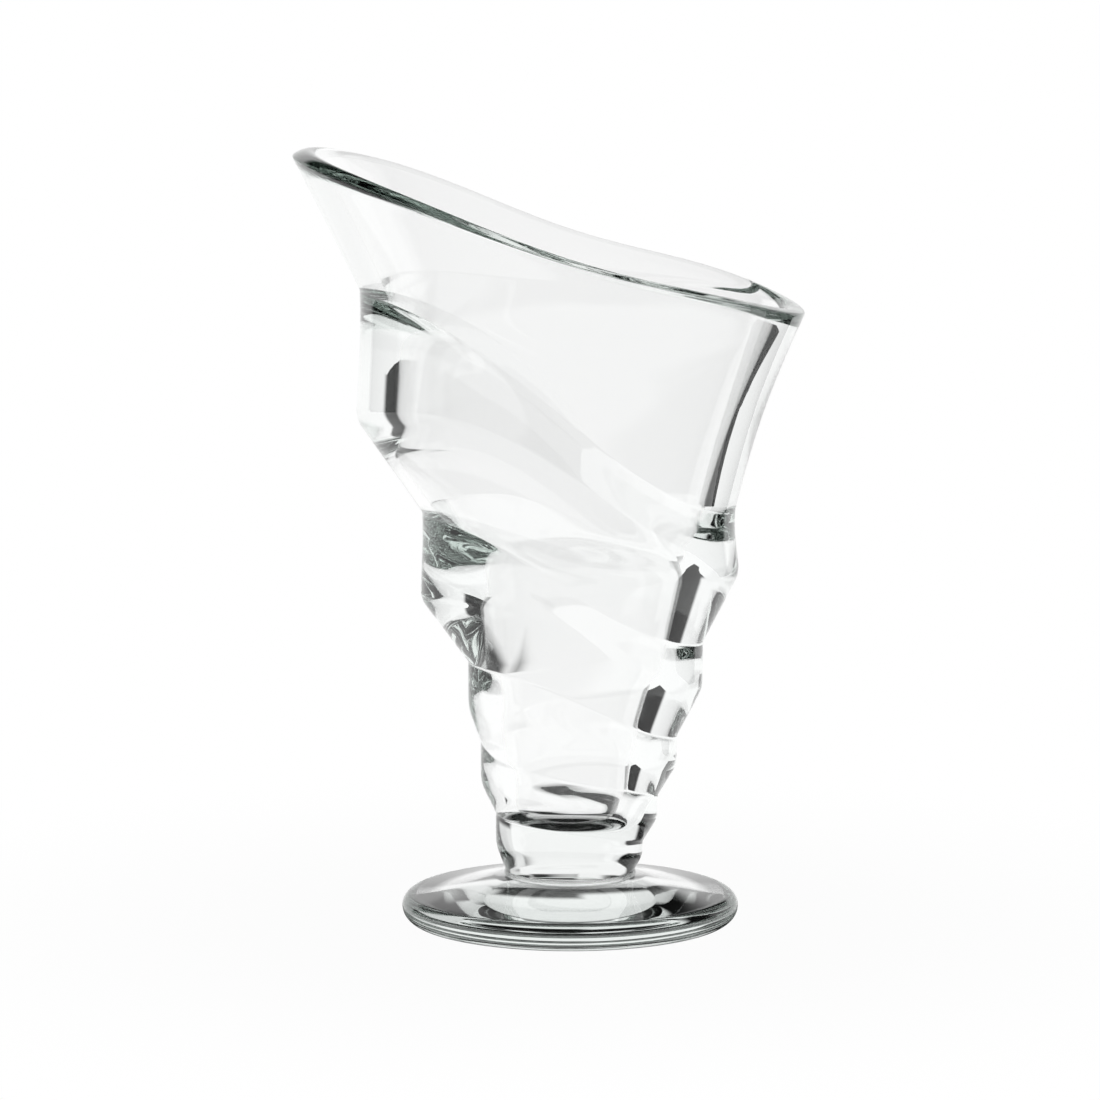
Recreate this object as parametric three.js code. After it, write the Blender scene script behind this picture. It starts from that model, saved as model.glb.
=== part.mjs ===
// Dessert glass of heavy pressed glass: a cone bowl whose outside steps down in one spiral, stuck by a thin
// wafer of glass to a round disc foot. Millimetres, +Z up, origin at the centre of the foot's underside.
// The mouth slants from its high side at -X down to its low side at +X. Seen from the front, which is -Y,
// the steps run down from left to right, and round the back they run nearly level.
import * as THREE from 'three';

// Foot
const FOOT_RADIUS = 38;
const FOOT_EDGE_HEIGHT = 6.4; // height of the flat top's outer end
const FOOT_UNDER_ROUND = 3.6; // how far the underside turns up into the edge
const FOOT_SEAT_HEIGHT = 10.2; // where the wafer lies
const FOOT_SEAT_MARGIN = 1.5; // seat left bare round the wafer

// Wafer between foot and bowl
const WAFER_RADIUS = 14.9;
const WAFER_THICKNESS = 1.5;
const WAFER_EDGE_ROUND = 0.7;

// Bowl: the crease at the top of each step, from the base up. Each figure is one half turn, round the back
// and across the front by turns, and says how far the crease climbs and how far it moves out.
const BASE_RADIUS = 14.6;
const CREASE_CLIMBS = [6.2, 6.8, 3.8, 13.0, 0.9, 17.0, 4.5, 29.4, 0.4, 49.5];
const CREASE_WIDENINGS = [1.8, 0.4, 3.0, 0.4, 3.9, -1.1, 6.9, 3.3, 3.8, 10.0];

// Bowl: how each crease falls across the front, from the base up. Higher powers make its start and its end
// more level, and a higher balance makes it fall earlier.
const FALL_START_POWERS = [1.6, 1, 3, 3, 3];
const FALL_END_POWERS = [1, 1, 1.6, 1.6, 1.6];
const FALL_BALANCES = [0.7, 1, 1.1, 2.3, 2.8];

// Bowl: each step's upright wall, its waist and lip, and the slope under it
const UPRIGHT_SHARE_LEFT = 0.58; // share of a step's height that stands upright
const UPRIGHT_SHARE_RIGHT = 0.48;
const UPRIGHT_DIP_FRONT = 0.1; // how much smaller that share is in front
const LIP_OUT = 0.9; // how far the top step's lip stands out past its crease
const WAIST_IN = 0.6; // how far the top step's wall draws in above the lip
const RIDGE_BEVEL = 1.1; // size of the softened corner between wall and slope

// Bowl: mouth
const MOUTH_LOW_ABOVE_CREASE = 44; // low side of the mouth, above the crease on the right
const MOUTH_HIGH_ABOVE_CREASE = 29.4; // high side of the mouth, above the crease on the left
const MOUTH_LOW_OUTSIDE_CREASE = 15.2;
const MOUTH_HIGH_OUTSIDE_CREASE = 14.65;
const MOUTH_SWAY_FRONT = 0.075; // how far ahead of a flat cut the mouth has fallen by halfway
const MOUTH_SWAY_BACK = 0.125;
const MOUTH_SAG = 1.4; // how far the flared wall under the mouth's low side draws in
const RIM_OUTER_ROUND = 0.13; // share of the rim's width that is rounded off outside
const RIM_INNER_ROUND = 0.69;

// Bowl: inside. Its lower part is a straight plunger that leans towards the mouth's low side. Further up it
// follows the outside, turning a little lower down and without sharp corners.
const WALL = 8.3; // glass between the inside and an upright outside
const INSIDE_LOWER = 5; // how much lower the inside turns than the outside
const INSIDE_SOFT = 9; // how far above and below a corner of the outside is evened out
const PLUNGER_WALL_LEFT = 8; // glass beside the plunger, at the creases under the flare
const PLUNGER_WALL_RIGHT = 6.8;
const PLUNGER_WALL_FLOOR = 5.6; // glass beside the plunger's end
const JOIN_BELOW_CREASE = 10.7; // where the two parts of the inside begin to join, below the crease
const JOIN_ABOVE_CREASE = 0.3;
const FLOOR_THICKNESS = 11.5; // solid glass from the base up to the inside's floor
const FLOOR_ROUND = 6; // height of the rounded edge of the floor
const FLOOR_FLAT_RADIUS = 5.2;

// Facets
const TURN = 2 * Math.PI;
const COLUMNS = 48; // round one turn
const BEND_ROWS = 3;
const INSIDE_ROWS = 20;
const SOFT_SAMPLES = 12;
const FOOT_FACETS = 64;
const ROUND_FACETS = 5;

const clearGlass = () => new THREE.MeshStandardMaterial({ color: 0xe6eeeb, roughness: 0.04, metalness: 0 });
const mix = THREE.MathUtils.lerp;
const easeShare = (share) => (1 - Math.cos(Math.PI * share)) / 2;

// Round outlines turn about +Z, so a lathe's own upright axis is laid over from +Y
function turned(points) {
  return new THREE.LatheGeometry(points, FOOT_FACETS).rotateX(Math.PI / 2);
}

// A quarter of an ellipse from one outline point to the next, bulging towards the corner between them
function quarterRound(from, to, corner) {
  const points = [];
  for (let facet = 0; facet <= ROUND_FACETS; facet += 1) {
    const angle = (facet / ROUND_FACETS) * (Math.PI / 2);
    const alongFrom = 1 - Math.cos(angle);
    const alongTo = 1 - Math.sin(angle);
    points.push(new THREE.Vector2(
      corner.x + (to.x - corner.x) * alongFrom + (from.x - corner.x) * alongTo,
      corner.y + (to.y - corner.y) * alongFrom + (from.y - corner.y) * alongTo,
    ));
  }
  return points;
}

function footGeometry() {
  const topRound = FOOT_EDGE_HEIGHT - FOOT_UNDER_ROUND;
  const widest = new THREE.Vector2(FOOT_RADIUS, FOOT_UNDER_ROUND);
  const under = new THREE.Vector2(FOOT_RADIUS - FOOT_UNDER_ROUND, 0);
  const shoulder = new THREE.Vector2(FOOT_RADIUS - topRound, FOOT_EDGE_HEIGHT);
  const seatRadius = WAFER_RADIUS + FOOT_SEAT_MARGIN;
  return turned([
    new THREE.Vector2(0, 0),
    ...quarterRound(under, widest, new THREE.Vector2(FOOT_RADIUS, 0)),
    ...quarterRound(widest, shoulder, new THREE.Vector2(FOOT_RADIUS, FOOT_EDGE_HEIGHT)).slice(1),
    new THREE.Vector2(seatRadius, FOOT_SEAT_HEIGHT),
    new THREE.Vector2(0, FOOT_SEAT_HEIGHT),
  ]);
}

function waferGeometry() {
  const bottom = FOOT_SEAT_HEIGHT;
  const top = bottom + WAFER_THICKNESS;
  const flat = WAFER_RADIUS - WAFER_EDGE_ROUND;
  const middle = new THREE.Vector2(WAFER_RADIUS, (bottom + top) / 2);
  return turned([
    new THREE.Vector2(0, bottom),
    ...quarterRound(new THREE.Vector2(flat, bottom), middle, new THREE.Vector2(WAFER_RADIUS, bottom)),
    ...quarterRound(middle, new THREE.Vector2(flat, top), new THREE.Vector2(WAFER_RADIUS, top)).slice(1),
    new THREE.Vector2(0, top),
  ]);
}

// The crease is followed by an angle that is 0 on the left at the top step, grows towards the front and
// keeps growing turn by turn. At every half turn it has a station on the left or on the right.
const BASE_HEIGHT = FOOT_SEAT_HEIGHT + WAFER_THICKNESS;
const HALF_TURNS = CREASE_CLIMBS.length;
const CREASE_START = -Math.PI; // where the crease leaves the mouth's low side
const CREASE_END = HALF_TURNS * Math.PI; // where it runs into the base
const stations = [{ radius: BASE_RADIUS, height: BASE_HEIGHT }];
for (let half = 0; half < HALF_TURNS; half += 1) {
  const below = stations[0];
  stations.unshift({
    radius: below.radius + CREASE_WIDENINGS[half],
    height: below.height + CREASE_CLIMBS[half],
  });
}
const mouthHigh = {
  radius: stations[0].radius + MOUTH_HIGH_OUTSIDE_CREASE,
  height: stations[0].height + MOUTH_HIGH_ABOVE_CREASE,
};
const mouthLow = {
  radius: stations[1].radius + MOUTH_LOW_OUTSIDE_CREASE,
  height: stations[1].height + MOUTH_LOW_ABOVE_CREASE,
};

function between(from, to, share) {
  return { radius: mix(from.radius, to.radius, share), height: mix(from.height, to.height, share) };
}

// Share of the way from the mouth's high side, on the left, to its low side, on the right
function lowSide(angle) {
  const sway = Math.sin(angle) > 0 ? MOUTH_SWAY_FRONT : MOUTH_SWAY_BACK;
  return (1 - Math.cos(angle)) / 2 + sway * Math.sin(angle) ** 6;
}

// Top of the flare, where the rim's outer rounding begins
function mouth(angle) {
  return between(mouthHigh, mouthLow, lowSide(angle));
}

function fallShare(half, share) {
  const front = Math.floor((HALF_TURNS - 1 - half) / 2);
  const started = FALL_BALANCES[front] * share ** FALL_START_POWERS[front];
  return started / (started + (1 - share) ** FALL_END_POWERS[front]);
}

// The crease itself. Before it starts, the same line is the mouth, and past its end it is the base's edge
function crease(angle) {
  if (angle <= CREASE_START) {
    return mouth(angle);
  }
  if (angle >= CREASE_END) {
    return stations[HALF_TURNS];
  }
  const half = Math.floor(angle / Math.PI);
  const share = angle / Math.PI - half;
  const upper = half < 0 ? mouth(CREASE_START) : stations[half];
  const acrossFront = half % 2 === 0;
  const fallen = acrossFront ? fallShare(half, share) : easeShare(share);
  return between(upper, stations[half + 1], fallen);
}

// One column of the outside, from the line above to the line below. Along the flare under the mouth it is
// nearly straight. Along a step it stands upright down to a lip and then slopes in.
const OUTSIDE_ROWS = [
  { upright: 0.3 },
  { upright: 0.6 },
  { upright: 0.86 },
  { upright: 1, bevelled: true },
  { sloped: 0.14 },
  { sloped: 0.55 },
];

function outsideColumn(angle) {
  const top = crease(angle);
  const low = crease(angle + TURN);
  const right = (1 - Math.cos(angle)) / 2;
  const stepped = easeShare(THREE.MathUtils.clamp(1 + angle / Math.PI, 0, 1));
  const topStep = 1 - THREE.MathUtils.smoothstep(angle, Math.PI, TURN + Math.PI);
  const upright = mix(UPRIGHT_SHARE_LEFT, UPRIGHT_SHARE_RIGHT, right)
    - UPRIGHT_DIP_FRONT * Math.max(Math.sin(angle), 0) ** 2;
  const ridge = { radius: top.radius + LIP_OUT * topStep, height: mix(top.height, low.height, upright) };
  return OUTSIDE_ROWS.map((row) => {
    const share = row.sloped === undefined ? row.upright * upright : mix(upright, 1, row.sloped);
    const flare = between(top, low, share);
    flare.radius -= MOUTH_SAG * right * Math.sin(Math.PI * share);
    if (row.sloped !== undefined) {
      return between(flare, between(ridge, low, row.sloped), stepped);
    }
    const bevel = row.bevelled ? Math.min(RIDGE_BEVEL, (top.height - low.height) * upright / 2) / 2 : 0;
    const wall = {
      radius: mix(top.radius, ridge.radius, row.upright) - bevel
        - WAIST_IN * topStep * Math.sin(Math.PI * row.upright) * (1 - row.upright),
      height: mix(top.height, ridge.height, row.upright),
    };
    return between(flare, wall, stepped);
  });
}

// Radius of the outside at a height, on an outline from the mouth down. Above the mouth the flare goes on.
function outsideRadius(outline, height) {
  const top = outline[0];
  if (height > top.height) {
    return top.radius + (height - top.height) * flareLean(outline);
  }
  const below = outline.findIndex((point) => point.height < height);
  if (below === -1) {
    return outline[outline.length - 1].radius;
  }
  const upper = outline[below - 1];
  const lower = outline[below];
  return mix(upper.radius, lower.radius, (upper.height - height) / (upper.height - lower.height));
}

// How far the flare leans out for each millimetre that it rises
function flareLean(outline) {
  const top = outline[0];
  return (top.radius - outsideRadius(outline, top.height - INSIDE_SOFT)) / INSIDE_SOFT;
}

// The plunger is a straight cone whose middle moves towards the right on its way up
const FLOOR_HEIGHT = BASE_HEIGHT + FLOOR_THICKNESS;
const PLUNGER_TOP_HEIGHT = stations[1].height;
const plungerLeft = stations[2].radius - PLUNGER_WALL_LEFT;
const plungerRight = stations[1].radius - PLUNGER_WALL_RIGHT;
const plungerEnd = stations[HALF_TURNS - 2].radius - PLUNGER_WALL_FLOOR;

function plungerRadius(angle, height) {
  const share = (height - FLOOR_HEIGHT) / (PLUNGER_TOP_HEIGHT - FLOOR_HEIGHT);
  const radius = mix(plungerEnd, (plungerLeft + plungerRight) / 2, share);
  const shift = mix(0, (plungerRight - plungerLeft) / 2, share);
  const along = -shift * Math.cos(angle);
  return along + Math.sqrt(radius ** 2 - shift ** 2 + along ** 2);
}

function insideRadius(angle, outline, height) {
  const joinStart = stations[1].height - JOIN_BELOW_CREASE;
  const joined = (height - joinStart) / (JOIN_BELOW_CREASE + JOIN_ABOVE_CREASE);
  let sum = 0;
  let weights = 0;
  for (let sample = 1; sample < SOFT_SAMPLES; sample += 1) {
    const share = sample / SOFT_SAMPLES;
    const weight = Math.sin(Math.PI * share) ** 2;
    sum += weight * outsideRadius(outline, height + INSIDE_LOWER + INSIDE_SOFT * (2 * share - 1));
    weights += weight;
  }
  const follows = easeShare(THREE.MathUtils.clamp(joined, 0, 1));
  return mix(plungerRadius(angle, height), sum / weights - WALL, follows);
}

function bend(from, corner, to) {
  return Array.from({ length: BEND_ROWS + 1 }, (_, row) => {
    const share = row / BEND_ROWS;
    return between(between(from, corner, share), between(corner, to, share), share);
  });
}

// One column of the rim and the inside, from the rim's outer edge to the flat of the floor. The rim is cut
// square to the flare.
function insideColumn(angle, outline) {
  const lean = flareLean(outline);
  const up = new THREE.Vector2(lean, 1).normalize();
  const width = (WALL - INSIDE_LOWER * lean) * up.y;
  const fromFlare = (rise, inward) => ({
    radius: outline[0].radius + up.x * rise - up.y * inward,
    height: outline[0].height + up.y * rise + up.x * inward,
  });
  const outerRound = RIM_OUTER_ROUND * width;
  const innerRound = RIM_INNER_ROUND * width;
  const rimEnd = fromFlare(outerRound - innerRound, width);
  const atHeight = (height) => ({ radius: insideRadius(angle, outline, height), height });
  const wallEnd = atHeight(FLOOR_HEIGHT + FLOOR_ROUND);
  const floorEdge = { radius: FLOOR_FLAT_RADIUS, height: FLOOR_HEIGHT };
  const points = [
    ...bend(outline[0], fromFlare(outerRound, 0), fromFlare(outerRound, outerRound)).slice(1),
    ...bend(fromFlare(outerRound, width - innerRound), fromFlare(outerRound, width), rimEnd),
  ];
  for (let row = 1; row < INSIDE_ROWS; row += 1) {
    points.push(atHeight(mix(rimEnd.height, wallEnd.height, row / INSIDE_ROWS)));
  }
  points.push(...bend(wallEnd, atHeight(FLOOR_HEIGHT), floorEdge));
  return points;
}

// The bowl is one skin of shared points: the spiral outside as a ribbon wound round and round, the rim, the
// inside and the flat base
function bowlGeometry() {
  const positions = [];
  const triangles = [];
  const columnAngle = (column) => CREASE_START - TURN + (column * TURN) / COLUMNS;
  const addPoint = (angle, { radius, height }) => {
    positions.push(-radius * Math.cos(angle), -radius * Math.sin(angle), height);
    return positions.length / 3 - 1;
  };
  const addQuad = (above, aboveNext, belowNext, below) => {
    if (above !== below) {
      triangles.push(above, below, belowNext);
    }
    if (aboveNext !== belowNext) {
      triangles.push(above, belowNext, aboveNext);
    }
  };

  // The ribbon: its lower edge is its own upper edge one turn on, and at both ends it narrows to a point
  const lastColumn = Math.round((CREASE_END - columnAngle(0)) / (TURN / COLUMNS));
  const edge = [];
  for (let column = 0; column < lastColumn + COLUMNS; column += 1) {
    const closesMouth = column === COLUMNS;
    edge.push(closesMouth ? edge[0] : addPoint(columnAngle(column), crease(columnAngle(column))));
  }
  edge.push(edge[lastColumn]);
  const ribbon = [];
  const outlines = Array.from({ length: COLUMNS }, () => []);
  for (let column = 0; column <= lastColumn; column += 1) {
    const angle = columnAngle(column);
    const narrowsToPoint = column === 0 || column === lastColumn;
    const inner = outsideColumn(angle);
    const innerPoints = inner.map((point) => (narrowsToPoint ? edge[column] : addPoint(angle, point)));
    ribbon.push([edge[column], ...innerPoints, edge[column + COLUMNS]]);
    outlines[column % COLUMNS].push(crease(angle), ...inner, crease(angle + TURN));
  }
  for (let column = 0; column < lastColumn; column += 1) {
    for (let row = 0; row + 1 < ribbon[column].length; row += 1) {
      const next = ribbon[column + 1];
      addQuad(ribbon[column][row], next[row], next[row + 1], ribbon[column][row + 1]);
    }
  }

  // Rim and inside, ring by ring from the rim's outer edge to the floor
  const insides = outlines.map((outline, column) => insideColumn(columnAngle(column), outline));
  const rings = [edge.slice(0, COLUMNS)];
  for (let row = 0; row < insides[0].length; row += 1) {
    rings.push(insides.map((inside, column) => addPoint(columnAngle(column), inside[row])));
  }
  for (let ring = 0; ring + 1 < rings.length; ring += 1) {
    for (let column = 0; column < COLUMNS; column += 1) {
      const next = (column + 1) % COLUMNS;
      addQuad(rings[ring + 1][column], rings[ring + 1][next], rings[ring][next], rings[ring][column]);
    }
  }

  // Floor of the inside and flat base, each a fan of triangles
  const floorRing = rings[rings.length - 1];
  const floorMiddle = addPoint(0, { radius: 0, height: FLOOR_HEIGHT });
  const baseRing = edge.slice(lastColumn, lastColumn + COLUMNS);
  const baseMiddle = addPoint(0, { radius: 0, height: BASE_HEIGHT });
  for (let column = 0; column < COLUMNS; column += 1) {
    const next = (column + 1) % COLUMNS;
    triangles.push(floorRing[column], floorRing[next], floorMiddle);
    triangles.push(baseRing[next], baseRing[column], baseMiddle);
  }

  const geometry = new THREE.BufferGeometry();
  geometry.setAttribute('position', new THREE.Float32BufferAttribute(positions, 3));
  geometry.setIndex(triangles);
  geometry.computeVertexNormals();
  return geometry;
}

function piece(name, geometry) {
  const mesh = new THREE.Mesh(geometry, clearGlass());
  mesh.name = name;
  return mesh;
}

const glass = new THREE.Group();
glass.add(
  piece('foot', footGeometry()),
  piece('joint_wafer', waferGeometry()),
  piece('bowl', bowlGeometry()),
);

export default glass;
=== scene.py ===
# A dessert glass of heavy clear pressed glass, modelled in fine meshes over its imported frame.
# Sizes of the glass are in millimetres, as on a maker's drawing, and become metres where a mesh is made.
import math

import bpy
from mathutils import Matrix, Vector


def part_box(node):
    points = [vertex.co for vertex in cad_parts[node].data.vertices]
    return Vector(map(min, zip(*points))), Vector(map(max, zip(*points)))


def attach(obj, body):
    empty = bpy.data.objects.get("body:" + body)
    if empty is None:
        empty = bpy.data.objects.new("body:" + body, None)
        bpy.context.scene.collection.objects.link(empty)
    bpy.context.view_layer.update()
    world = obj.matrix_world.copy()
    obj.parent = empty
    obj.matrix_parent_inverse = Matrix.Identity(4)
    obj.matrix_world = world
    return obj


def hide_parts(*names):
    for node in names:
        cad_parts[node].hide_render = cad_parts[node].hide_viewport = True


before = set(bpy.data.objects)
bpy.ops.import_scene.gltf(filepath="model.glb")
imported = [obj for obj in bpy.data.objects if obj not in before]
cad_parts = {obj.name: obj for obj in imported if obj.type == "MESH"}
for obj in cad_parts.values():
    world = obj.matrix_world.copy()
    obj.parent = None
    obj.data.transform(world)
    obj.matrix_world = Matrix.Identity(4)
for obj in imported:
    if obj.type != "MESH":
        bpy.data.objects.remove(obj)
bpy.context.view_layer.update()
scene = bpy.context.scene
scene.view_settings.view_transform = "Standard"

# Camera
# A long lens looks slightly down from above the height of the glass, so that the mouth is a narrow oval and
# the foot a flat one. The glass stands a little to the right of the middle.
CAMERA_PLACE = Vector((0.0, -1.2, 0.2522))
CAMERA_AIM = Vector((-0.00456, 0.0, 0.0844))
CAMERA_LENS_MM = 176.6
CAMERA_SENSOR_MM = 36.0

camera = bpy.data.objects.new("camera", bpy.data.cameras.new("camera"))
camera.data.lens = CAMERA_LENS_MM
camera.data.sensor_width = CAMERA_SENSOR_MM
camera.location = CAMERA_PLACE
camera.rotation_euler = (CAMERA_AIM - CAMERA_PLACE).to_track_quat("-Z", "Y").to_euler()
scene.collection.objects.link(camera)
scene.camera = camera

# Light passes many faces on its way through thick stepped glass, so paths may be long.
LIGHT_BOUNCES = 32
scene.cycles.max_bounces = LIGHT_BOUNCES
scene.cycles.transmission_bounces = LIGHT_BOUNCES
scene.cycles.glossy_bounces = LIGHT_BOUNCES

# Foot
# A pressed disc of clear glass with a rounded edge. Its underside is flat, and its top rises to a seat in
# the middle, where the wafer sticks it to the bowl. Where glass is stuck to glass no face can be seen.
MM = 0.001
TURN = 2 * math.pi
FOOT_ROUND_STEPS = 14
FOOT_TOP_STEPS = 24
LATHE_SEGMENTS = 256
FOOT_RADIUS = (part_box("foot")[1][0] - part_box("foot")[0][0]) / 2 / MM
FOOT_SEAT_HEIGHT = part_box("foot")[1][2] / MM
FOOT_EDGE_HEIGHT = 6.4
FOOT_UNDER_ROUND = 3.6
FOOT_SEAT_RADIUS = 16.4
FOOT_FLARE = 0.5
GLASS_IOR = 1.52
GLASS_TINT = (0.80, 0.86, 0.83, 1.0)
GLASS_TINT_DENSITY = 10.0
GLASS_PURE = (1.0, 1.0, 1.0, 1.0)
RIPPLE_SCALE = 40.0
RIPPLE_DETAIL = 1.5
RIPPLE_HEIGHT = 0.0000015
POLISH_BEST = 0.0
POLISH_WORST = 0.012
FUSED_IOR = 1.0
FUSED_SLOT = 1
FUSED_ROUGHNESS = 0.0


def clear_glass():
    material = bpy.data.materials.new("clear_glass")
    material.use_nodes = True
    nodes = material.node_tree.nodes
    links = material.node_tree.links
    shader = nodes["Principled BSDF"]
    shader.inputs["Base Color"].default_value = GLASS_PURE
    shader.inputs["Transmission Weight"].default_value = 1.0
    shader.inputs["IOR"].default_value = GLASS_IOR
    place = nodes.new("ShaderNodeTexCoord")
    ripple = nodes.new("ShaderNodeTexNoise")
    ripple.inputs["Scale"].default_value = RIPPLE_SCALE
    ripple.inputs["Detail"].default_value = RIPPLE_DETAIL
    polish = nodes.new("ShaderNodeMapRange")
    polish.inputs["To Min"].default_value = POLISH_BEST
    polish.inputs["To Max"].default_value = POLISH_WORST
    bump = nodes.new("ShaderNodeBump")
    bump.inputs["Distance"].default_value = RIPPLE_HEIGHT
    links.new(place.outputs["Object"], ripple.inputs["Vector"])
    links.new(ripple.outputs["Fac"], polish.inputs["Value"])
    links.new(polish.outputs["Result"], shader.inputs["Roughness"])
    links.new(ripple.outputs["Fac"], bump.inputs["Height"])
    links.new(bump.outputs["Normal"], shader.inputs["Normal"])
    tint = nodes.new("ShaderNodeVolumeAbsorption")
    tint.inputs["Color"].default_value = GLASS_TINT
    tint.inputs["Density"].default_value = GLASS_TINT_DENSITY
    links.new(tint.outputs["Volume"], nodes["Material Output"].inputs["Volume"])
    return material


def fused_glass():
    material = bpy.data.materials.new("fused_glass")
    material.use_nodes = True
    shader = material.node_tree.nodes["Principled BSDF"]
    shader.inputs["Base Color"].default_value = GLASS_PURE
    shader.inputs["Transmission Weight"].default_value = 1.0
    shader.inputs["IOR"].default_value = FUSED_IOR
    shader.inputs["Roughness"].default_value = FUSED_ROUGHNESS
    return material


GLASS = clear_glass()
FUSED = fused_glass()


def quarter_round(start, end, corner, steps):
    points = []
    for step in range(steps + 1):
        angle = step / steps * math.pi / 2
        from_start = (start - corner) * (1 - math.sin(angle))
        from_end = (end - corner) * (1 - math.cos(angle))
        points.append(corner + from_end + from_start)
    return points


def glass_piece(name, points, faces, fused_faces, sharp_loops):
    mesh = bpy.data.meshes.new(name)
    mesh.from_pydata([Vector(point) * MM for point in points], [], faces)
    mesh.materials.append(GLASS)
    mesh.materials.append(FUSED)
    mesh.polygons.foreach_set("use_smooth", [True] * len(faces))
    for face in fused_faces:
        mesh.polygons[face].material_index = FUSED_SLOT
    sharp = {tuple(sorted((loop[i - 1], loop[i]))) for loop in sharp_loops for i in range(len(loop))}
    for edge in mesh.edges:
        edge.use_edge_sharp = tuple(sorted(edge.vertices)) in sharp
    mesh.update()
    piece = bpy.data.objects.new(name, mesh)
    scene.collection.objects.link(piece)
    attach(piece, "root")
    return piece


def turned_piece(name, outline, fused_heights):
    rings = []
    points = []
    for radius, height in outline:
        ring = []
        if radius == 0:
            points.append((0, 0, height))
            ring = [len(points) - 1] * LATHE_SEGMENTS
        else:
            for segment in range(LATHE_SEGMENTS):
                angle = TURN * segment / LATHE_SEGMENTS
                points.append((radius * math.cos(angle), radius * math.sin(angle), height))
                ring.append(len(points) - 1)
        rings.append(ring)
    faces = []
    fused_faces = []
    sharp_loops = []
    for (low, low_ring), (high, high_ring) in zip(zip(outline, rings), zip(outline[1:], rings[1:])):
        fused = low.y == high.y and low.y in fused_heights
        if fused:
            sharp_loops.append(low_ring if low.x > 0 else high_ring)
        for segment in range(LATHE_SEGMENTS):
            after = (segment + 1) % LATHE_SEGMENTS
            corners = [low_ring[segment], low_ring[after], high_ring[after], high_ring[segment]]
            faces.append(list(dict.fromkeys(corners)))
            if fused:
                fused_faces.append(len(faces) - 1)
    return glass_piece(name, points, faces, fused_faces, sharp_loops)


foot_top_round = FOOT_EDGE_HEIGHT - FOOT_UNDER_ROUND
foot_under = Vector((FOOT_RADIUS - FOOT_UNDER_ROUND, 0))
foot_widest = Vector((FOOT_RADIUS, FOOT_UNDER_ROUND))
foot_shoulder = Vector((FOOT_RADIUS - foot_top_round, FOOT_EDGE_HEIGHT))
foot_seat = Vector((FOOT_SEAT_RADIUS, FOOT_SEAT_HEIGHT))
foot_outline = [Vector((0, 0))]
foot_outline += quarter_round(foot_under, foot_widest, Vector((FOOT_RADIUS, 0)), FOOT_ROUND_STEPS)
foot_outline += quarter_round(
    foot_widest, foot_shoulder, Vector((FOOT_RADIUS, FOOT_EDGE_HEIGHT)), FOOT_ROUND_STEPS
)[1:]
for step in range(1, FOOT_TOP_STEPS + 1):
    share = step / FOOT_TOP_STEPS
    point = foot_shoulder.lerp(foot_seat, share)
    point.y -= FOOT_FLARE * math.sin(math.pi * share)
    foot_outline.append(point)
foot_outline.append(Vector((0, FOOT_SEAT_HEIGHT)))
foot = turned_piece("foot_glass", foot_outline, [FOOT_SEAT_HEIGHT])
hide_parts("foot")

# Joint wafer
# A thin wafer of hot glass squeezed between bowl and foot, which sticks the two together. It shows as a
# bright ring with a rounded edge.
WAFER_RADIUS = (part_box("joint_wafer")[1][0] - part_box("joint_wafer")[0][0]) / 2 / MM
WAFER_EDGE_ROUND = 0.7
WAFER_STEPS = 8
FUSED_GAP = 0.04

wafer_low = FOOT_SEAT_HEIGHT + FUSED_GAP
wafer_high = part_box("joint_wafer")[1][2] / MM - FUSED_GAP
wafer_flat = WAFER_RADIUS - WAFER_EDGE_ROUND
wafer_middle = Vector((WAFER_RADIUS, (wafer_low + wafer_high) / 2))
wafer_outline = [Vector((0, wafer_low))]
wafer_outline += quarter_round(
    Vector((wafer_flat, wafer_low)), wafer_middle, Vector((WAFER_RADIUS, wafer_low)), WAFER_STEPS
)
wafer_outline += quarter_round(
    wafer_middle, Vector((wafer_flat, wafer_high)), Vector((WAFER_RADIUS, wafer_high)), WAFER_STEPS
)[1:]
wafer_outline.append(Vector((0, wafer_high)))
wafer = turned_piece("joint_wafer_glass", wafer_outline, [wafer_low, wafer_high])
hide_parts("joint_wafer")

# Bowl
# A thick cone of glass, pressed between a mould with spiral steps and a smooth plunger. A crease winds from
# the low side of the mouth to the base. Below it the glass stands upright down to a lip, then slopes in to
# the crease one turn further down. The slanted rim is cut square to the flare, with softened edges.
BASE_RADIUS = 14.6
BASE_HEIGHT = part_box("bowl")[0][2] / MM
CREASE_CLIMBS = (6.2, 6.8, 3.8, 13.0, 0.9, 17.0, 4.5, 29.4, 0.4, 49.5)
CREASE_WIDENINGS = (1.8, 0.4, 3.0, 0.4, 3.9, -1.1, 6.9, 3.3, 3.8, 10.0)
FALL_START_POWERS = (1.6, 1.0, 3.0, 3.0, 3.0)
FALL_END_POWERS = (1.0, 1.0, 1.6, 1.6, 1.6)
FALL_BALANCES = (0.7, 1.0, 1.1, 2.3, 2.8)
UPRIGHT_SHARE_LEFT = 0.58
UPRIGHT_SHARE_RIGHT = 0.48
UPRIGHT_DIP_FRONT = 0.2
LIP_OUT = 0.9
WAIST_IN = 0.6
CREASE_SOFT = 0.5
CREASE_AIM = 0.3
CREASE_PLAIN_SHARE = 0.06
RIDGE_SOFT = 2.0
RIDGE_SOFT_SHARE = 0.4
SOFT_SHARE = 0.45
LEAST_HEIGHT = 1e-6
MOUTH_LOW_ABOVE_CREASE = 44.0
MOUTH_HIGH_ABOVE_CREASE = 29.4
MOUTH_LOW_OUTSIDE_CREASE = 15.2
MOUTH_HIGH_OUTSIDE_CREASE = 14.65
MOUTH_SWAY_FRONT = 0.075
MOUTH_SWAY_BACK = 0.125
MOUTH_SWAY_POWER = 6
MOUTH_SAG = 1.4
RIM_OUTER_SOFT = 0.7
RIM_INNER_SOFT = 3.8
FLOOR_THICKNESS = 11.5
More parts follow.
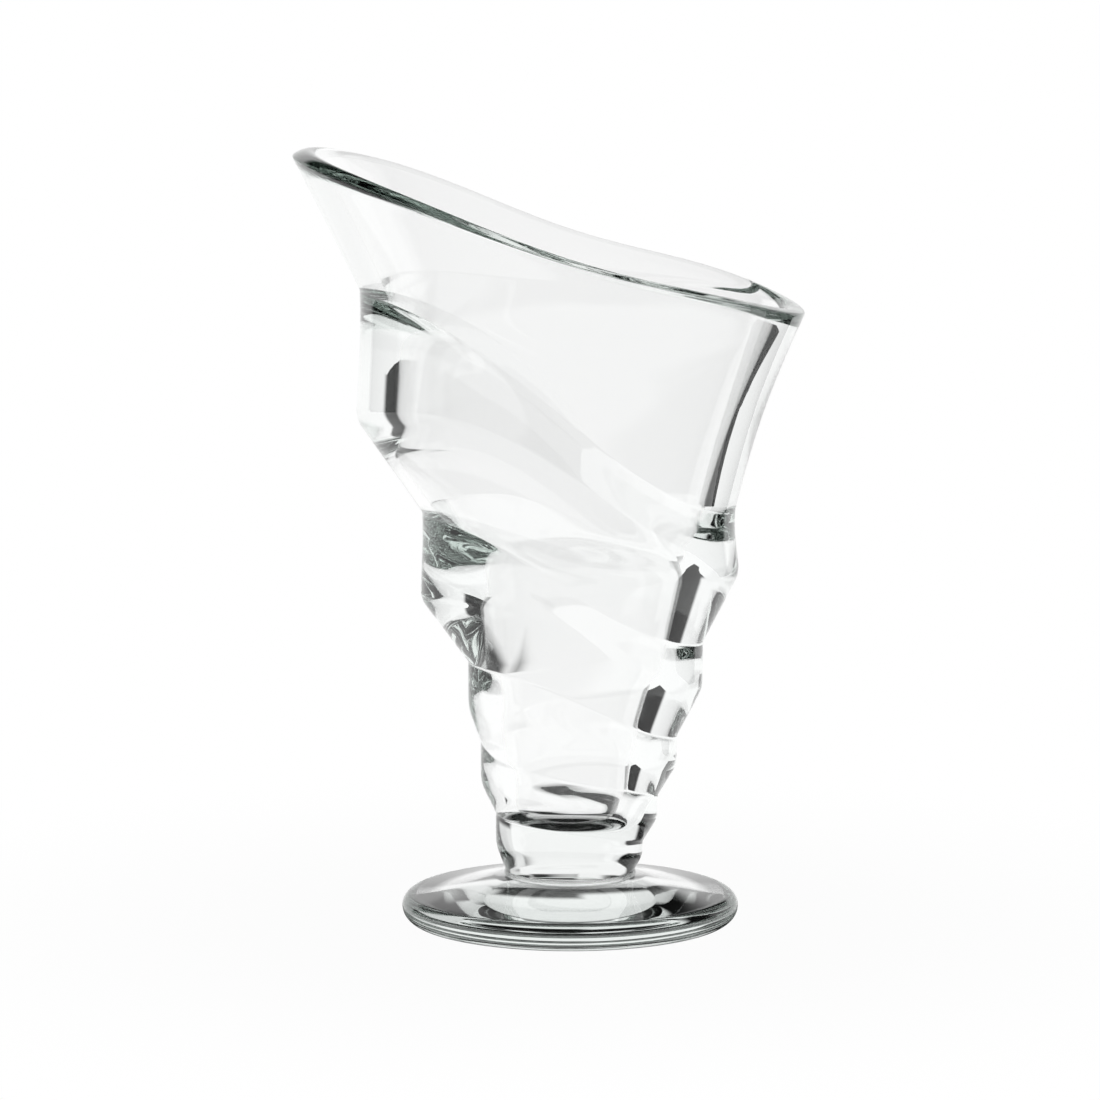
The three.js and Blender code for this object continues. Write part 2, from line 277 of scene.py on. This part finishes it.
FLOOR_ROUND = 6.0
PLUNGER_RADIUS = 11.2
PLUNGER_TAPER = 0.234
PLUNGER_LEAN = 0.035
WALL = 8.3
INSIDE_LOWER = 5.0
FOLLOWS_FROM = 83.0
FOLLOWS_TO = 94.0
INSIDE_SOFT = 9.0
INSIDE_SOFT_SAMPLES = 16
COLUMNS = 240
CREASE_ROWS = 3
WALL_ROWS = 7
RIDGE_ROWS = 7
SLOPE_ROWS = 6
RIM_ROWS = 8
WALL_INSIDE_ROWS = 90
FLOOR_ROUND_ROWS = 8
FLOOR_ROWS = 8

HALF_TURNS = len(CREASE_CLIMBS)
CREASE_START = -math.pi
CREASE_END = HALF_TURNS * math.pi
stations = [Vector((BASE_RADIUS, BASE_HEIGHT))]
for widening, climb in zip(CREASE_WIDENINGS, CREASE_CLIMBS):
    stations.insert(0, stations[0] + Vector((widening, climb)))
mouth_high = stations[0] + Vector((MOUTH_HIGH_OUTSIDE_CREASE, MOUTH_HIGH_ABOVE_CREASE))
mouth_low = stations[1] + Vector((MOUTH_LOW_OUTSIDE_CREASE, MOUTH_LOW_ABOVE_CREASE))


def ease(share):
    share = min(max(share, 0), 1)
    return (1 - math.cos(math.pi * share)) / 2


def mix(first, second, share):
    return first + (second - first) * share


def low_side(angle):
    sway = MOUTH_SWAY_FRONT if math.sin(angle) > 0 else MOUTH_SWAY_BACK
    return (1 - math.cos(angle)) / 2 + sway * math.sin(angle) ** MOUTH_SWAY_POWER


def mouth(angle):
    return mouth_high.lerp(mouth_low, low_side(angle))


def fall(half, share):
    front = (HALF_TURNS - 1 - half) // 2
    started = FALL_BALANCES[front] * share ** FALL_START_POWERS[front]
    return started / (started + (1 - share) ** FALL_END_POWERS[front])


def crease(angle):
    if angle <= CREASE_START:
        return mouth(angle)
    if angle >= CREASE_END:
        return stations[HALF_TURNS].copy()
    half = math.floor(angle / math.pi)
    share = angle / math.pi - half
    upper = mouth(CREASE_START) if half < 0 else stations[half]
    fallen = fall(half, share) if half % 2 == 0 else ease(share)
    return upper.lerp(stations[half + 1], fallen)


def bend(start, corner, end, share):
    return start.lerp(corner, share).lerp(corner.lerp(end, share), share)


def soft_corner(before, corner, after, reach, rows):
    back = before - corner
    ahead = after - corner
    start = corner + back.normalized() * min(reach, back.length * SOFT_SHARE)
    end = corner + ahead.normalized() * min(reach, ahead.length * SOFT_SHARE)
    return [bend(start, corner, end, row / rows) for row in range(rows + 1)]


def step_guides(angle):
    top = crease(angle)
    low = crease(angle + TURN)
    right = (1 - math.cos(angle)) / 2
    upright = mix(UPRIGHT_SHARE_LEFT, UPRIGHT_SHARE_RIGHT, right)
    upright -= UPRIGHT_DIP_FRONT * max(math.sin(angle), 0) ** 2
    stepped = ease(1 + angle / math.pi)
    top_step = 1 - ease((angle - math.pi) / TURN)

    def flare(height):
        share = (top.y - height) / (top.y - low.y) if top.y > low.y else 0
        return mix(top.x, low.x, share) - MOUTH_SAG * right * math.sin(math.pi * share)

    def wall(share):
        height = mix(top.y, mix(top.y, low.y, upright), share)
        waist = WAIST_IN * top_step * math.sin(math.pi * share) * (1 - share)
        radius = top.x + LIP_OUT * top_step * share - waist
        return Vector((mix(flare(height), radius, stepped), height))

    return top, low, wall, flare, stepped


def step_column(angle):
    top, low, wall, flare, stepped = step_guides(angle)
    above = step_guides(angle - TURN)[2](1) if angle > CREASE_START else None
    below = step_guides(angle + TURN)[2](CREASE_AIM) if angle + TURN < CREASE_END else None
    ridge = wall(1)
    points = []
    if above is not None:
        points += soft_corner(above, top, wall(CREASE_AIM), CREASE_SOFT, 2 * CREASE_ROWS)[CREASE_ROWS:]
    else:
        plain_end = wall(CREASE_PLAIN_SHARE)
        points += [top.lerp(plain_end, row / CREASE_ROWS) for row in range(CREASE_ROWS + 1)]
    wall_height = max(top.y - ridge.y, LEAST_HEIGHT)
    first = (top.y - points[-1].y) / wall_height
    last = 1 - min(RIDGE_SOFT / wall_height, RIDGE_SOFT_SHARE)
    points += [wall(mix(first, last, row / WALL_ROWS)) for row in range(1, WALL_ROWS)]
    slope_reach = min(RIDGE_SOFT, (low - ridge).length * SOFT_SHARE)
    slope_start = ridge + (low - ridge).normalized() * slope_reach
    points += [bend(wall(last), ridge, slope_start, row / RIDGE_ROWS) for row in range(RIDGE_ROWS + 1)]
    if below is not None:
        bottom = soft_corner(ridge, low, below, CREASE_SOFT, 2 * CREASE_ROWS)[: CREASE_ROWS + 1]
    else:
        shares = [CREASE_PLAIN_SHARE * (1 - row / CREASE_ROWS) for row in range(CREASE_ROWS + 1)]
        bottom = [low.lerp(ridge, share) for share in shares]
    points += [points[-1].lerp(bottom[0], row / SLOPE_ROWS) for row in range(1, SLOPE_ROWS)]
    points += bottom
    for point in points[1:-1]:
        if stepped < 1 and low.y < point.y < top.y:
            point.x = mix(flare(point.y), point.x, stepped)
    return points


def radius_at(outline, height):
    if height > outline[0].y:
        return outline[0].x + (height - outline[0].y) * flare_lean(outline)
    for upper, lower in zip(outline, outline[1:]):
        if upper.y >= height > lower.y:
            return mix(upper.x, lower.x, (upper.y - height) / (upper.y - lower.y))
    return outline[-1].x


def flare_lean(outline):
    return (outline[0].x - radius_at(outline, outline[0].y - INSIDE_SOFT)) / INSIDE_SOFT


def on_plunger(angle, height):
    above = height - BASE_HEIGHT - FLOOR_THICKNESS
    radius = PLUNGER_RADIUS + PLUNGER_TAPER * above
    shift = PLUNGER_LEAN * above
    along = -shift * math.cos(angle)
    return along + math.sqrt(radius ** 2 - shift ** 2 + along ** 2)


def soft_inside(angle, outline, height):
    follows = ease((height - FOLLOWS_FROM) / (FOLLOWS_TO - FOLLOWS_FROM))
    if follows == 0:
        return Vector((on_plunger(angle, height), height))
    total = 0
    weights = 0
    for sample in range(1, INSIDE_SOFT_SAMPLES):
        share = sample / INSIDE_SOFT_SAMPLES
        weight = math.sin(math.pi * share) ** 2
        total += weight * radius_at(outline, height + INSIDE_LOWER + INSIDE_SOFT * (2 * share - 1))
        weights += weight
    return Vector((mix(on_plunger(angle, height), total / weights - WALL, follows), height))


def rim_outline(outline):
    lean = flare_lean(outline)
    up = Vector((lean, 1)).normalized()
    across = Vector((-up.y, up.x))
    outer = outline[0] + up * RIM_OUTER_SOFT
    inner = outer + across * (WALL - INSIDE_LOWER * lean) * up.y
    outer_end = outer + across * RIM_OUTER_SOFT
    inner_start = inner - across * RIM_INNER_SOFT
    inner_end = inner - up * RIM_INNER_SOFT
    points = [bend(outline[0], outer, outer_end, row / RIM_ROWS) for row in range(1, RIM_ROWS)]
    points += [outer_end.lerp(inner_start, row / RIM_ROWS) for row in range(RIM_ROWS)]
    points += [bend(inner_start, inner, inner_end, row / RIM_ROWS) for row in range(RIM_ROWS + 1)]
    return points


def inside_outline(angle, outline):
    floor_height = BASE_HEIGHT + FLOOR_THICKNESS
    cone_end = soft_inside(angle, outline, floor_height + FLOOR_ROUND)
    corner = soft_inside(angle, outline, floor_height)
    floor_edge = corner - Vector((FLOOR_ROUND, 0))
    points = rim_outline(outline)
    wall_top = points[-1].y
    for row in range(1, WALL_INSIDE_ROWS):
        points.append(soft_inside(angle, outline, mix(wall_top, cone_end.y, row / WALL_INSIDE_ROWS)))
    points += [
        bend(cone_end, corner, floor_edge, row / FLOOR_ROUND_ROWS) for row in range(FLOOR_ROUND_ROWS)
    ]
    points += [Vector((floor_edge.x * (1 - row / FLOOR_ROWS), floor_height)) for row in range(FLOOR_ROWS)]
    return points


bowl_points = []
bowl_faces = []


def add_point(angle, place):
    bowl_points.append((-place.x * math.cos(angle), -place.x * math.sin(angle), place.y))
    return len(bowl_points) - 1


def add_face(*corners):
    face = list(dict.fromkeys(corners))
    if len(face) > 2:
        bowl_faces.append(face)


def column_angle(column):
    return CREASE_START - TURN + column * TURN / COLUMNS


last_column = round((CREASE_END - column_angle(0)) / (TURN / COLUMNS))
columns = [step_column(column_angle(column)) for column in range(last_column + 1)]
edge = []
for column in range(last_column + COLUMNS):
    angle = column_angle(column)
    if column == COLUMNS:
        edge.append(edge[0])
    elif column <= last_column:
        edge.append(add_point(angle, columns[column][0]))
    else:
        edge.append(add_point(angle, crease(angle)))
edge.append(edge[last_column])
ribbon = []
for column, points in enumerate(columns):
    if column in (0, last_column):
        inner = [edge[column]] * (len(points) - 2)
    else:
        inner = [add_point(column_angle(column), point) for point in points[1:-1]]
    ribbon.append([edge[column], *inner, edge[column + COLUMNS]])
for column in range(last_column):
    here, after = ribbon[column], ribbon[column + 1]
    for row in range(len(here) - 1):
        add_face(here[row], here[row + 1], after[row + 1], after[row])

rings = [edge[:COLUMNS]]
each_angle = [column_angle(column) for column in range(COLUMNS)]
inside_columns = []
for column in range(COLUMNS):
    outline = [point for turn in columns[column::COLUMNS] for point in turn]
    inside_columns.append(inside_outline(column_angle(column), outline))
for row in range(len(inside_columns[0])):
    rings.append([add_point(angle, inside[row]) for angle, inside in zip(each_angle, inside_columns)])
floor_middle = add_point(0, Vector((0, BASE_HEIGHT + FLOOR_THICKNESS)))
rings.append([floor_middle] * COLUMNS)
for lower, upper in zip(rings, rings[1:]):
    for column in range(COLUMNS):
        after = (column + 1) % COLUMNS
        add_face(upper[column], lower[column], lower[after], upper[after])
base_ring = edge[last_column:last_column + COLUMNS]
base_face = len(bowl_faces)
bowl_faces.append(base_ring[::-1])
bowl = glass_piece("bowl_glass", bowl_points, bowl_faces, [base_face], [base_ring])
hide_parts("bowl")

# Table
# A plain white table top, a hair's breadth under the foot and cut off behind on the right, outside the
# picture. Rays through the glass see it glow with a painted shadow of the glass: dark under the solid base
# and the rounded edge of the foot, light under its flat part, and gone just past the edge. Further out that
# glow is painted a little darker between 0.43 and 0.75 m from the middle. The camera sees it white, with a
# faint computed shadow.
TABLE_REACH = 0.9
TABLE_GAP = 0.0002
TABLE_WHITE = (0.92, 0.92, 0.92, 1.0)
TABLE_ROUGHNESS = 0.9
TABLE_SHINE = 0.0
TABLE_SHADOW_SHARE = 0.03
TABLE_SHADOW_FROM = 0.03
TABLE_SHADOW_TO = 0.2
# Painted shadow and painted light of the table's glow, seen only through the glass.
TABLE_PAINTED_SHADES = (
    # distance from the middle in metres, and the painted light there
    (0.015, 0.01),
    (0.019, 0.9),
    (0.028, 0.9),
    (0.031, 0.02),
    (0.038, 0.02),
    (0.052, 1.03),
    (0.300, 1.03),
    (0.430, 0.95),
    (0.750, 0.95),
    (0.900, 1.0),
)
TABLE_CORNERS = (
    # metres to the right and back
    (-TABLE_REACH, -TABLE_REACH),
    (TABLE_REACH, -TABLE_REACH),
    (TABLE_REACH, 0.09),
    (0.165, 0.09),
    (0.512, TABLE_REACH),
    (-TABLE_REACH, TABLE_REACH),
)

table_mesh = bpy.data.meshes.new("table")
table_edge = [(right, back, -TABLE_GAP) for right, back in TABLE_CORNERS]
table_mesh.from_pydata(table_edge, [], [list(range(len(table_edge)))])
table = bpy.data.objects.new("table", table_mesh)
scene.collection.objects.link(table)
table_white_painted_shadow = bpy.data.materials.new("table_white_painted_shadow")
table_white_painted_shadow.use_nodes = True
nodes = table_white_painted_shadow.node_tree.nodes
links = table_white_painted_shadow.node_tree.links
surface = nodes["Principled BSDF"]
surface.inputs["Base Color"].default_value = TABLE_WHITE
surface.inputs["Roughness"].default_value = TABLE_ROUGHNESS
surface.inputs["Specular IOR Level"].default_value = TABLE_SHINE
place = nodes.new("ShaderNodeTexCoord")
from_middle = nodes.new("ShaderNodeVectorMath")
from_middle.operation = "LENGTH"
links.new(place.outputs["Object"], from_middle.inputs[0])
rays = nodes.new("ShaderNodeLightPath")
glow_white = nodes.new("ShaderNodeEmission")
# The table's glow with the painted shadow, for rays through the glass.
glow_painted_shadow = nodes.new("ShaderNodeEmission")
reached = nodes.new("ShaderNodeMath")
reached.operation = "DIVIDE"
reached.inputs[1].default_value = TABLE_REACH
links.new(from_middle.outputs["Value"], reached.inputs[0])
# The painted shadow: how brightly the table glows at each distance from the middle.
painted_shades = nodes.new("ShaderNodeValToRGB")
painted_shades.color_ramp.interpolation = "EASE"
while len(painted_shades.color_ramp.elements) < len(TABLE_PAINTED_SHADES):
    painted_shades.color_ramp.elements.new(1.0)
for element, (distance, light) in zip(painted_shades.color_ramp.elements, TABLE_PAINTED_SHADES):
    element.position = distance / TABLE_REACH
    element.color = (light, light, light, 1.0)
links.new(reached.outputs[0], painted_shades.inputs["Fac"])
links.new(painted_shades.outputs["Color"], glow_painted_shadow.inputs["Strength"])
off_shadow = nodes.new("ShaderNodeMapRange")
off_shadow.interpolation_type = "SMOOTHSTEP"
off_shadow.inputs["From Min"].default_value = TABLE_SHADOW_FROM
off_shadow.inputs["From Max"].default_value = TABLE_SHADOW_TO
off_shadow.inputs["To Min"].default_value = 1 - TABLE_SHADOW_SHARE
links.new(from_middle.outputs["Value"], off_shadow.inputs["Value"])
camera_share = nodes.new("ShaderNodeMath")
camera_share.operation = "MULTIPLY"
links.new(rays.outputs["Is Camera Ray"], camera_share.inputs[0])
links.new(off_shadow.outputs["Result"], camera_share.inputs[1])
seen_in_glass = nodes.new("ShaderNodeMath")
seen_in_glass.operation = "MAXIMUM"
links.new(rays.outputs["Is Glossy Ray"], seen_in_glass.inputs[0])
links.new(rays.outputs["Is Transmission Ray"], seen_in_glass.inputs[1])
seen_directly = nodes.new("ShaderNodeMixShader")
links.new(camera_share.outputs[0], seen_directly.inputs[0])
links.new(surface.outputs["BSDF"], seen_directly.inputs[1])
links.new(glow_white.outputs["Emission"], seen_directly.inputs[2])
# Rays through the glass see only the glow with the painted shadow.
seen_at_all = nodes.new("ShaderNodeMixShader")
links.new(seen_in_glass.outputs[0], seen_at_all.inputs[0])
links.new(seen_directly.outputs["Shader"], seen_at_all.inputs[1])
links.new(glow_painted_shadow.outputs["Emission"], seen_at_all.inputs[2])
links.new(seen_at_all.outputs["Shader"], nodes["Material Output"].inputs["Surface"])
table_mesh.materials.append(table_white_painted_shadow)

# Studio
# A dark room with a white wall behind the glass. White boards stand beside the wall on the right, above it
# on the left, at the far left, and low behind the camera on the right. Glass shows its shape only by what it
# bends into view, and the dark of the room gives it its dark edges. The camera itself sees white.
ROOM_DARK = 0.004
WALL_FOOT_LIGHT = 1.1
WALL_TOP_LIGHT = 1.0
WALL_LIGHT_MIDDLE = -13.0
WALL_LIGHT_SOFT = 6.0
ROOM_WHITE = (1.0, 1.0, 1.0, 1.0)
WHITE_BOARDS = (
    # bearing, half width and softness in degrees, the same three for the height, and the strength
    (0.0, 42.0, 3.0, 3.0, 15.0, 3.0, 1.0),
    (46.0, 16.0, 3.0, 14.0, 12.0, 3.0, 0.8),
    (-23.0, 19.0, 3.0, 12.0, 12.0, 3.0, 1.0),
    (-90.0, 14.0, 4.0, -3.0, 9.0, 3.0, 0.8),
    (135.0, 20.0, 5.0, -18.0, 14.0, 4.0, 0.8),
)

world = bpy.data.worlds.new("studio")
scene.world = world
world.use_nodes = True
nodes = world.node_tree.nodes
links = world.node_tree.links


def world_math(operation, first, second=None):
    node = nodes.new("ShaderNodeMath")
    node.operation = operation
    for socket, value in zip(node.inputs, (first, second)):
        if isinstance(value, (int, float)):
            socket.default_value = value
        elif value is not None:
            links.new(value, socket)
    return node.outputs[0]


def rise(value, middle, soft, low=0.0, high=1.0):
    node = nodes.new("ShaderNodeMapRange")
    node.interpolation_type = "SMOOTHSTEP"
    node.inputs["From Min"].default_value = middle - soft
    node.inputs["From Max"].default_value = middle + soft
    node.inputs["To Min"].default_value = low
    node.inputs["To Max"].default_value = high
    links.new(value, node.inputs["Value"])
    return node.outputs["Result"]


def between_edges(value, start, end, soft):
    return world_math("MULTIPLY", rise(value, start, soft), rise(value, end, soft, 1.0, 0.0))


direction = nodes.new("ShaderNodeSeparateXYZ")
links.new(nodes.new("ShaderNodeTexCoord").outputs["Generated"], direction.inputs[0])
bearing = world_math("DEGREES", world_math("ARCTAN2", direction.outputs["X"], direction.outputs["Y"]))
elevation = world_math("DEGREES", world_math("ARCSINE", direction.outputs["Z"]))
room = ROOM_DARK
for middle, half_width, side_soft, height, half_height, height_soft, strength in WHITE_BOARDS:
    board = world_math(
        "MULTIPLY",
        between_edges(bearing, middle - half_width, middle + half_width, side_soft),
        between_edges(elevation, height - half_height, height + half_height, height_soft),
    )
    room = world_math("MAXIMUM", room, world_math("MULTIPLY", board, strength))
wall_light = rise(elevation, WALL_LIGHT_MIDDLE, WALL_LIGHT_SOFT, WALL_FOOT_LIGHT, WALL_TOP_LIGHT)
room = world_math("MULTIPLY", room, wall_light)
seen_by_camera = nodes.new("ShaderNodeLightPath").outputs["Is Camera Ray"]
links.new(world_math("MAXIMUM", room, seen_by_camera), nodes["Background"].inputs["Strength"])
nodes["Background"].inputs["Color"].default_value = ROOM_WHITE
